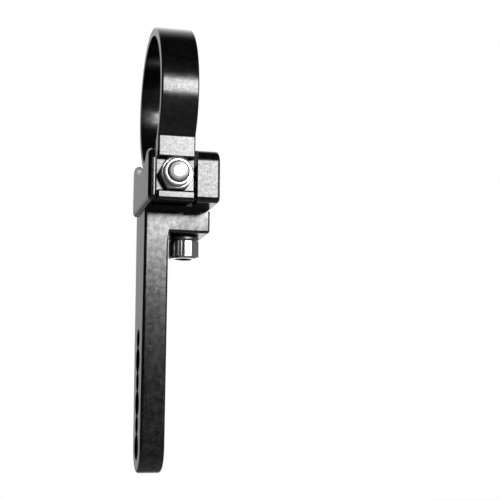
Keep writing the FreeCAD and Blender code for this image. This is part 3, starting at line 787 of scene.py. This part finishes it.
shank_start, shank_radius = HEAD_SEAT - SHANK_IN_HEAD, BOLT_RADIUS + SHANK_PLAY
screw = wind_thread(
    "socket_screw", screw_axis, "Z", shank_start - THREAD_SPARE, SCREW_TIP + THREAD_SPARE)
envelope = turned("shank_envelope", screw_axis, (0, shank_start), [
    (shank_radius, shank_start),
    (shank_radius, SCREW_TIP - END_CONE - SHANK_PLAY),
    (BOLT_RADIUS - END_CONE, SCREW_TIP),
    (0, SCREW_TIP),
])
combine(screw, envelope, "INTERSECT")
head = turned("screw_head", screw_axis, (0, HEAD_END), [
    (HEAD_RADIUS - HEAD_RIM, HEAD_END),
    arc((HEAD_RADIUS - HEAD_RIM, HEAD_END + HEAD_RIM), 90, HEAD_RIM_STEPS),
    (HEAD_RADIUS, HEAD_SEAT - SEAT_RIM),
    arc((HEAD_RADIUS - SEAT_RIM, HEAD_SEAT - SEAT_RIM), 90, SEAT_RIM_STEPS),
    (0, HEAD_SEAT),
], HEAD_STEPS)
head_place = (SCREW_X, ARM_MIDDLE, HEAD_END)
socket = bar(
    "socket_tool", head_place, corner_radius(SOCKET_FLATS), 2 * SOCKET_DEPTH, ALONG_Z, sides=6)
combine(head, socket, "DIFFERENCE")
bpy.ops.object.mode_set(mode="EDIT")
round_edges(head, SOCKET_EDGE, SOCKET_EDGE_STEPS, socket_mouth)
combine(screw, head, "UNION")
finish_piece(screw, "arm_screw")

# %% [markdown]
# A finish is a net of nodes, and most of them do one of a few things: stretch a number, mix two
# colours, add numbers up, or raise a bump. Each of these could be set up by hand every time. Small
# helpers keep the finishes short enough to read as recipes.

# %% Node helpers
def add_node(tree, kind, **settings):
    node = tree.nodes.new(kind)
    for name, value in settings.items():
        setattr(node, name, value)
    return node


def wire(tree, start, output, end, entry):
    tree.links.new(start.outputs[output], end.inputs[entry])


def new_group(name, entries, exits):
    """An empty node group with number inputs and their usual values, and number outputs."""
    group = bpy.data.node_groups.new(name, "ShaderNodeTree")
    for label, usual in entries.items():
        socket = group.interface.new_socket(
            label, in_out="INPUT", socket_type="NodeSocketFloat")
        socket.default_value = usual
    for label in exits:
        group.interface.new_socket(label, in_out="OUTPUT", socket_type="NodeSocketFloat")
    return group, add_node(group, "NodeGroupInput"), add_node(group, "NodeGroupOutput")


def group_node(tree, group, **values):
    node = add_node(tree, "ShaderNodeGroup", node_tree=group)
    for label, value in values.items():
        node.inputs[label.replace("_", " ").title()].default_value = value
    return node


def new_finish(name):
    finish = bpy.data.materials.new(name)
    finish.use_nodes = True
    return finish, finish.node_tree, finish.node_tree.nodes["Principled BSDF"]


def ramp(tree, start, output, low, high, to_low=0.0, to_high=1.0):
    """A number of another node, stretched from one range to another and held inside it."""
    stretch = add_node(tree, "ShaderNodeMapRange", interpolation_type="SMOOTHSTEP")
    ends = {"From Min": low, "From Max": high, "To Min": to_low, "To Max": to_high}
    for label, value in ends.items():
        stretch.inputs[label].default_value = value
    wire(tree, start, output, stretch, "Value")
    return stretch


def reckon(tree, operation, first, second):
    """A number from two others. All three are pairs of a node and the name of its output."""
    result = add_node(tree, "ShaderNodeMath", operation=operation)
    wire(tree, *first, result, 0)
    wire(tree, *second, result, 1)
    return result, "Value"


def weighed_sum(tree, base, *parts):
    """A base number plus numbers of other nodes, each with its weight."""
    total = None
    for node, output, weight in parts:
        term = add_node(tree, "ShaderNodeMath", operation="MULTIPLY_ADD")
        wire(tree, node, output, term, 0)
        term.inputs[1].default_value = weight
        term.inputs[2].default_value = base
        if total:
            wire(tree, total, "Value", term, 2)
        total = term
    return total


def blend(tree, mask, output, first, second):
    """A colour that goes from the first to the second with a mask."""
    mix = add_node(tree, "ShaderNodeMix", data_type="RGBA")
    mix.inputs["A"].default_value = (*first, 1)
    mix.inputs["B"].default_value = (*second, 1)
    wire(tree, mask, output, mix, "Factor")
    return mix


def add_bump(tree, shader, height, distance, strength=1.0):
    bump = add_node(tree, "ShaderNodeBump")
    bump.inputs["Strength"].default_value = strength
    bump.inputs["Distance"].default_value = distance
    wire(tree, height, "Value", bump, "Height")
    wire(tree, bump, "Normal", shader, "Normal")


print("node helpers ready")

# %% [markdown]
# The finishes share two effects, each a node group with named inputs and outputs. The first one is
# the grain that blasted and dyed metal keeps under its coat: a fine ripple, soft clouds, and tiny
# pits. It only puts out values, and each finish decides what they do. It reads Object coordinates,
# which are metres in the frame, so a ripple keeps its size on every piece.

# %% Grain group
GRAIN_ENTRIES = {
    "Ripple Scale": 1900.0, "Cloud Scale": 600.0, "Pit Scale": 1700.0, "Squeeze X": 1.0}
GRAIN_PARTS = (  # output, scale input, noise detail, and the range that is stretched
    ("Ripple", "Ripple Scale", 3.0, 0.2, 0.8),
    ("Clouds", "Cloud Scale", 4.0, 0.3, 0.7),
    ("Pits", "Pit Scale", 1.0, 0.6, 0.85),
)

grain_group, entry, leave = new_group(
    "metal_grain", GRAIN_ENTRIES, [part[0] for part in GRAIN_PARTS])
place = add_node(grain_group, "ShaderNodeTexCoord")
squeeze = add_node(grain_group, "ShaderNodeCombineXYZ")
for axis in "YZ":
    squeeze.inputs[axis].default_value = 1.0
wire(grain_group, entry, "Squeeze X", squeeze, "X")
drawn = add_node(grain_group, "ShaderNodeVectorMath", operation="MULTIPLY")
wire(grain_group, place, "Object", drawn, 0)
wire(grain_group, squeeze, "Vector", drawn, 1)
for output, scale, detail, low, high in GRAIN_PARTS:
    noise = add_node(grain_group, "ShaderNodeTexNoise")
    noise.inputs["Detail"].default_value = detail
    wire(grain_group, drawn, "Vector", noise, "Vector")
    wire(grain_group, entry, scale, noise, "Scale")
    wire(grain_group, ramp(grain_group, noise, "Fac", low, high), "Result", leave, output)
print("grain group with", len(grain_group.nodes), "nodes")

# %% [markdown]
# The second effect marks the edges: corners of a coated piece are rubbed a little thinner than its
# faces, and the same paler edge is also a painted highlight, for the light that a rounded edge
# catches. The Bevel node gives the direction that a softly rounded surface would face, and where
# that differs from the real direction there is an edge. A noise breaks the line up, so it doesn't
# look drawn.

# %% Edge wear and painted highlight group
EDGE_WEAR_HIGHLIGHT_ENTRIES = {"Width": 0.0006, "Break Scale": 900.0}
EDGE_WEAR_HIGHLIGHT_SAMPLES = 4
EDGE_RANGE, BREAK_RANGE = (0.9, 0.995), (0.35, 0.65)

# The edge mask is partly rubbed coat and partly a painted highlight along the rounded edges.
edge_wear_highlight_group, entry, leave = new_group("edge_wear_and_highlight", EDGE_WEAR_HIGHLIGHT_ENTRIES, ("Wear And Highlight",))
soft = add_node(edge_wear_highlight_group, "ShaderNodeBevel", samples=EDGE_WEAR_HIGHLIGHT_SAMPLES)
wire(edge_wear_highlight_group, entry, "Width", soft, "Radius")
facing = add_node(edge_wear_highlight_group, "ShaderNodeNewGeometry")
compare = add_node(edge_wear_highlight_group, "ShaderNodeVectorMath", operation="DOT_PRODUCT")
wire(edge_wear_highlight_group, soft, "Normal", compare, 0)
wire(edge_wear_highlight_group, facing, "Normal", compare, 1)
edge = ramp(edge_wear_highlight_group, compare, "Value", *EDGE_RANGE, 1.0, 0.0)
place = add_node(edge_wear_highlight_group, "ShaderNodeTexCoord")
noise = add_node(edge_wear_highlight_group, "ShaderNodeTexNoise")
wire(edge_wear_highlight_group, place, "Object", noise, "Vector")
wire(edge_wear_highlight_group, entry, "Break Scale", noise, "Scale")
breaks = ramp(edge_wear_highlight_group, noise, "Fac", *BREAK_RANGE)
worn_lit_edge = reckon(edge_wear_highlight_group, "MULTIPLY", (edge, "Result"), (breaks, "Result"))
wire(edge_wear_highlight_group, *worn_lit_edge, leave, "Wear And Highlight")
print("edge wear group with", len(edge_wear_highlight_group.nodes), "nodes")

# %% [markdown]
# The strap, the block and the arm are aluminium with a black satin coat. Its colour is nearly
# black, and what the eye sees is the soft light mirrored in it. So most of the finish is in how
# well it mirrors: the ripple breaks a reflection up into fine speckle, the clouds make it mottled,
# and a pit is a dull spot. A dull spot is made with Metallic, because a metal mirrors in its own
# colour, and that is black here. Edges are a little rougher where rubbed, and paler: partly rubbed
# coat and partly a painted highlight for the light that a rounded edge catches.

# %% Black coat
COAT_DARK, COAT_DUSTY = (0.0022, 0.0022, 0.0023), (0.005, 0.005, 0.0051)
# Paler edge colour: partly rubbed coat, partly a painted highlight along the rounded edges.
COAT_EDGE_WEAR_AND_HIGHLIGHT = (0.06, 0.06, 0.061)
COAT_ROUGHNESS, COAT_IOR = 0.175, 1.77
ROUGH_CLOUDS, ROUGH_PITS, ROUGH_WEAR = 0.015, 0.03, 0.05
PIT_DULLNESS = 0.15
RIPPLE_HEIGHT, CLOUD_HEIGHT, PIT_HEIGHT = 0.6, 0.4, -0.2
COAT_BUMP = 3e-6


def black_coat(name, clouds, mirror, mottle, speckle, squeeze):
    finish, tree, shader = new_finish(name)
    shader.inputs["IOR"].default_value = COAT_IOR
    shader.inputs["Specular IOR Level"].default_value = mirror
    grain = group_node(tree, grain_group, cloud_scale=clouds, squeeze_x=squeeze)
    wear = group_node(tree, edge_wear_highlight_group)
    tint = blend(tree, grain, "Clouds", COAT_DARK, COAT_DUSTY)
    # The edges are painted paler: partly wear, partly a painted highlight.
    worn_lit_edge = blend(tree, wear, "Wear And Highlight", COAT_DARK, COAT_EDGE_WEAR_AND_HIGHLIGHT)
    wire(tree, tint, "Result", worn_lit_edge, "A")
    wire(tree, worn_lit_edge, "Result", shader, "Base Color")
    rough = weighed_sum(
        tree, COAT_ROUGHNESS, (grain, "Clouds", ROUGH_CLOUDS), (grain, "Pits", ROUGH_PITS),
        (wear, "Wear And Highlight", ROUGH_WEAR))
    wire(tree, rough, "Value", shader, "Roughness")
    dull = weighed_sum(
        tree, mottle + speckle, (grain, "Clouds", -mottle), (grain, "Ripple", -speckle),
        (grain, "Pits", PIT_DULLNESS))
    wire(tree, dull, "Value", shader, "Metallic")
    height = weighed_sum(
        tree, 0.0, (grain, "Ripple", RIPPLE_HEIGHT), (grain, "Clouds", CLOUD_HEIGHT),
        (grain, "Pits", PIT_HEIGHT))
    add_bump(tree, shader, height, COAT_BUMP)
    return finish


strap_coat = black_coat(
    "black_coat_strap", clouds=900.0, mirror=0.67, mottle=0.22, speckle=0.3, squeeze=0.6)
block_coat = black_coat(
    "black_coat_block", clouds=900.0, mirror=0.65, mottle=0.3, speckle=0.4, squeeze=1.0)
arm_coat = black_coat(
    "black_coat_arm", clouds=560.0, mirror=0.86, mottle=0.34, speckle=0.24, squeeze=1.0)
print("coats with", len(arm_coat.node_tree.nodes), "nodes each")

# %% [markdown]
# There are four looks of steel. The nut is plated, which is bright but a little frosty, and the
# stud's cut end is rougher still. The screw is polished until it mirrors the room, and the washer
# of spring steel is given a darker tone. They could be four separate recipes, but one is enough:
# the grain group sets how frosty the metal is, and faint turning marks follow the height along
# the piece.

# %% Steels
BRIGHT, DARKENED = 0.75, 0.3
CLEAR_TINT, CLOUDED_TINT = (1.04, 1.04, 1.04), (0.9, 0.9, 0.92)
STEEL_RIPPLE, STEEL_CLOUDS = 2600.0, 500.0
MARK_DETAIL, FROST_HEIGHT = 2.0, 0.4
MARKS_ALONG_Y, MARKS_ALONG_Z = (200, 4000, 200), (200, 200, 4000)
FAINT_MARKS, PLAIN_MARKS = 5e-7, 1e-6


def steel(name, tone, marks, stretch, roughness):
    finish, tree, shader = new_finish(name)
    shader.inputs["Metallic"].default_value = 1.0
    grain = group_node(
        tree, grain_group, ripple_scale=STEEL_RIPPLE, cloud_scale=STEEL_CLOUDS)
    clear, clouded = ([part * tone for part in tint] for tint in (CLEAR_TINT, CLOUDED_TINT))
    wire(tree, blend(tree, grain, "Clouds", clear, clouded), "Result", shader, "Base Color")
    frost = ramp(tree, grain, "Clouds", 0.0, 1.0, *roughness)
    wire(tree, frost, "Result", shader, "Roughness")
    place = add_node(tree, "ShaderNodeTexCoord")
    along = add_node(tree, "ShaderNodeMapping")
    along.inputs["Scale"].default_value = stretch
    wire(tree, place, "Object", along, "Vector")
    lines = add_node(tree, "ShaderNodeTexNoise")
    lines.inputs["Scale"].default_value = 1.0
    lines.inputs["Detail"].default_value = MARK_DETAIL
    wire(tree, along, "Vector", lines, "Vector")
    height = weighed_sum(tree, 0.0, (lines, "Fac", 1.0), (grain, "Ripple", FROST_HEIGHT))
    add_bump(tree, shader, height, marks)
    return finish


plated = steel("plated_steel", BRIGHT, FAINT_MARKS, MARKS_ALONG_Y, roughness=(0.3, 0.38))
turned_end = steel("turned_steel", BRIGHT, PLAIN_MARKS, MARKS_ALONG_Y, roughness=(0.45, 0.55))
polished = steel("polished_steel", BRIGHT, FAINT_MARKS, MARKS_ALONG_Z, roughness=(0.1, 0.15))
spring = steel("spring_steel", DARKENED, PLAIN_MARKS, MARKS_ALONG_Z, roughness=(0.28, 0.36))
print("steels:", plated.name, turned_end.name, polished.name, spring.name)

# %% [markdown]
# Nylon is dull and a little uneven. The clouds shift its dark grey, and the ripple sets both its
# roughness and a shallow bump. Then every piece gets its finish.

# %% Nylon
NYLON_DARK, NYLON_PALE = (0.025, 0.025, 0.028), (0.045, 0.045, 0.05)
NYLON_ROUGHNESS = (0.38, 0.52)
NYLON_RIPPLE, NYLON_BUMP, NYLON_STRENGTH = 3000.0, 5e-6, 0.6

nylon, tree, shader = new_finish("dark_nylon")
grain = group_node(tree, grain_group, ripple_scale=NYLON_RIPPLE)
tint = blend(tree, grain, "Clouds", NYLON_DARK, NYLON_PALE)
wire(tree, tint, "Result", shader, "Base Color")
uneven = ramp(tree, grain, "Ripple", 0.0, 1.0, *NYLON_ROUGHNESS)
wire(tree, uneven, "Result", shader, "Roughness")
height = weighed_sum(tree, 0.0, (grain, "Ripple", 1.0))
add_bump(tree, shader, height, NYLON_BUMP, NYLON_STRENGTH)

finishes = (
    (strap, strap_coat), (block, block_coat), (arm, arm_coat), (stud, turned_end), (nut, plated),
    (ring, nylon), (washer, spring), (screw, polished),
)
for piece, finish in finishes:
    piece.data.materials.clear()
    piece.data.materials.append(finish)
print("finishes on", len(finishes), "pieces")

# %% [markdown]
# The room is a white wall behind the bracket and a dim studio in front of it. To the camera the
# wall is plain white. In reflections it keeps that place: surfaces that look back towards the wall
# mirror it, most of all its upper part. Those that look to the right mirror a grey side wall, and
# those that look forwards mirror the dark room and the lamps.

# %% Room
ROOM_FRONT, ROOM_RIGHT, ROOM_BACK = 0.012, 0.16, 0.54
WALL_TOP_GAIN = 3.0
# Where each part of the room begins and is full, along X to the right, Y to the back and Z up.
WALL_Y, WALL_LEFT_X, WALL_RIGHT_X, WALL_TOP_Z = (0.2, 0.9), (-0.6, -0.2), (0.2, 0.75), (0.2, 0.6)
SIDE_X = (0.2, 0.9)

scene.view_settings.view_transform = "Standard"
world = bpy.data.worlds.new("studio_room")
scene.world = world
world.use_nodes = True
tree = world.node_tree
tree.nodes.clear()
leave = add_node(tree, "ShaderNodeOutputWorld")
background = add_node(tree, "ShaderNodeBackground")
background.inputs["Color"].default_value = (1, 1, 1, 1)
look = add_node(tree, "ShaderNodeTexCoord")
split = add_node(tree, "ShaderNodeSeparateXYZ")
wire(tree, look, "Generated", split, "Vector")
wall = (ramp(tree, split, "Y", *WALL_Y, 0.0, ROOM_BACK), "Result")
for factor in (
    ramp(tree, split, "X", *WALL_LEFT_X),
    ramp(tree, split, "X", *WALL_RIGHT_X, 1.0, 0.0),
    ramp(tree, split, "Z", *WALL_TOP_Z, 1.0, WALL_TOP_GAIN),
):
    wall = reckon(tree, "MULTIPLY", wall, (factor, "Result"))
side = ramp(tree, split, "X", *SIDE_X, ROOM_FRONT, ROOM_RIGHT)
around = reckon(tree, "ADD", wall, (side, "Result"))
ray = add_node(tree, "ShaderNodeLightPath")
strength = add_node(tree, "ShaderNodeMix", data_type="FLOAT")
strength.inputs["B"].default_value = 1.0
wire(tree, ray, "Is Camera Ray", strength, "Factor")
wire(tree, *around, strength, "A")
wire(tree, strength, "Result", background, "Strength")
wire(tree, background, "Background", leave, "Surface")
print("room from", ROOM_FRONT, "in front to", ROOM_BACK, "at the wall")

# %% [markdown]
# A wide softbox stands in front, a little above the bracket and to its right, with a weaker one
# beside it farther round and a narrow strip light to the left. All three carry a grid that keeps
# their light off the floor in front, so the undersides stay dark. A grid gathers the light along
# its axis, and the power is divided by that gain to keep the brightness as written.

# %% Softboxes
GRID_HALF_ANGLE = math.radians(35)
LAMP_DISTANCE = 1.06
SOFTBOXES = (  # name, azimuth, elevation, width, height and brightness
    ("wide_softbox", 20.0, 13.3, 0.6, 0.385, 15),
    ("side_softbox", 45.0, 13.3, 0.3, 0.385, 4),
    ("strip_softbox", -24.0, 14.3, 0.09, 0.345, 3),
)


def softbox(name, azimuth, elevation, width, height, radiance):
    """A gridded area light. The azimuth is measured from straight in front towards the right."""
    data = bpy.data.lights.new(name, "AREA")
    data.shape = "RECTANGLE"
    data.size = width
    data.size_y = height
    data.spread = 2 * GRID_HALF_ANGLE
    gain = math.tan(GRID_HALF_ANGLE) / (math.tan(GRID_HALF_ANGLE) - GRID_HALF_ANGLE)
    data.energy = radiance * math.pi * width * height / gain
    lamp = bpy.data.objects.new(name, data)
    az, el = math.radians(azimuth), math.radians(elevation)
    towards = Vector((
        math.sin(az) * math.cos(el), -math.cos(az) * math.cos(el), math.sin(el)))
    lamp.location = towards * LAMP_DISTANCE
    lamp.rotation_euler = towards.to_track_quat("Z", "Y").to_euler()
    lamp.visible_camera = False
    scene.collection.objects.link(lamp)


for row in SOFTBOXES:
    softbox(*row)
print(len(SOFTBOXES), "softboxes")

# %% [markdown]
# The floor is a sheet of white paper well below the bracket, which hangs free as it does on the
# fork. The paper is lit like anything else and takes the shadow, and for the camera it adds enough
# light of its own to be nearly as white as the wall. Polished undersides mirror the bright paper
# behind the bracket in the same way.

# %% Floor
FLOOR_SIZE, FLOOR_DROP = 8, 0.5
PAPER_GREY, PAPER_ROUGHNESS = 0.6, 0.9
PAPER_GLOW, PAPER_WHITE = 1.4, 0.85
GLOW_Y, GLOW_X = (0.2, 1.2), (-0.2, 0.4)

clear_bench()
bpy.ops.mesh.primitive_plane_add(size=FLOOR_SIZE, location=(0, 0, -FLOOR_DROP))
floor = bpy.context.object
floor.name = "studio_floor"
paper, tree, shader = new_finish("white_paper")
shader.inputs["Base Color"].default_value = (PAPER_GREY, PAPER_GREY, PAPER_GREY, 1)
shader.inputs["Roughness"].default_value = PAPER_ROUGHNESS
shader.inputs["Emission Color"].default_value = (1, 1, 1, 1)
ray = add_node(tree, "ShaderNodeLightPath")
place = add_node(tree, "ShaderNodeTexCoord")
split = add_node(tree, "ShaderNodeSeparateXYZ")
wire(tree, place, "Object", split, "Vector")
behind = ramp(tree, split, "Y", *GLOW_Y, 0.0, PAPER_GLOW)
to_right = ramp(tree, split, "X", *GLOW_X)
glow = reckon(tree, "MULTIPLY", (behind, "Result"), (to_right, "Result"))
mirrored = reckon(tree, "MULTIPLY", (ray, "Is Glossy Ray"), glow)
seen = weighed_sum(tree, 0.0, (ray, "Is Camera Ray", PAPER_WHITE))
light = reckon(tree, "ADD", mirrored, (seen, "Value"))
wire(tree, *light, shader, "Emission Strength")
floor.data.materials.append(paper)
print("floor", FLOOR_DROP, "m below the fork's axis")
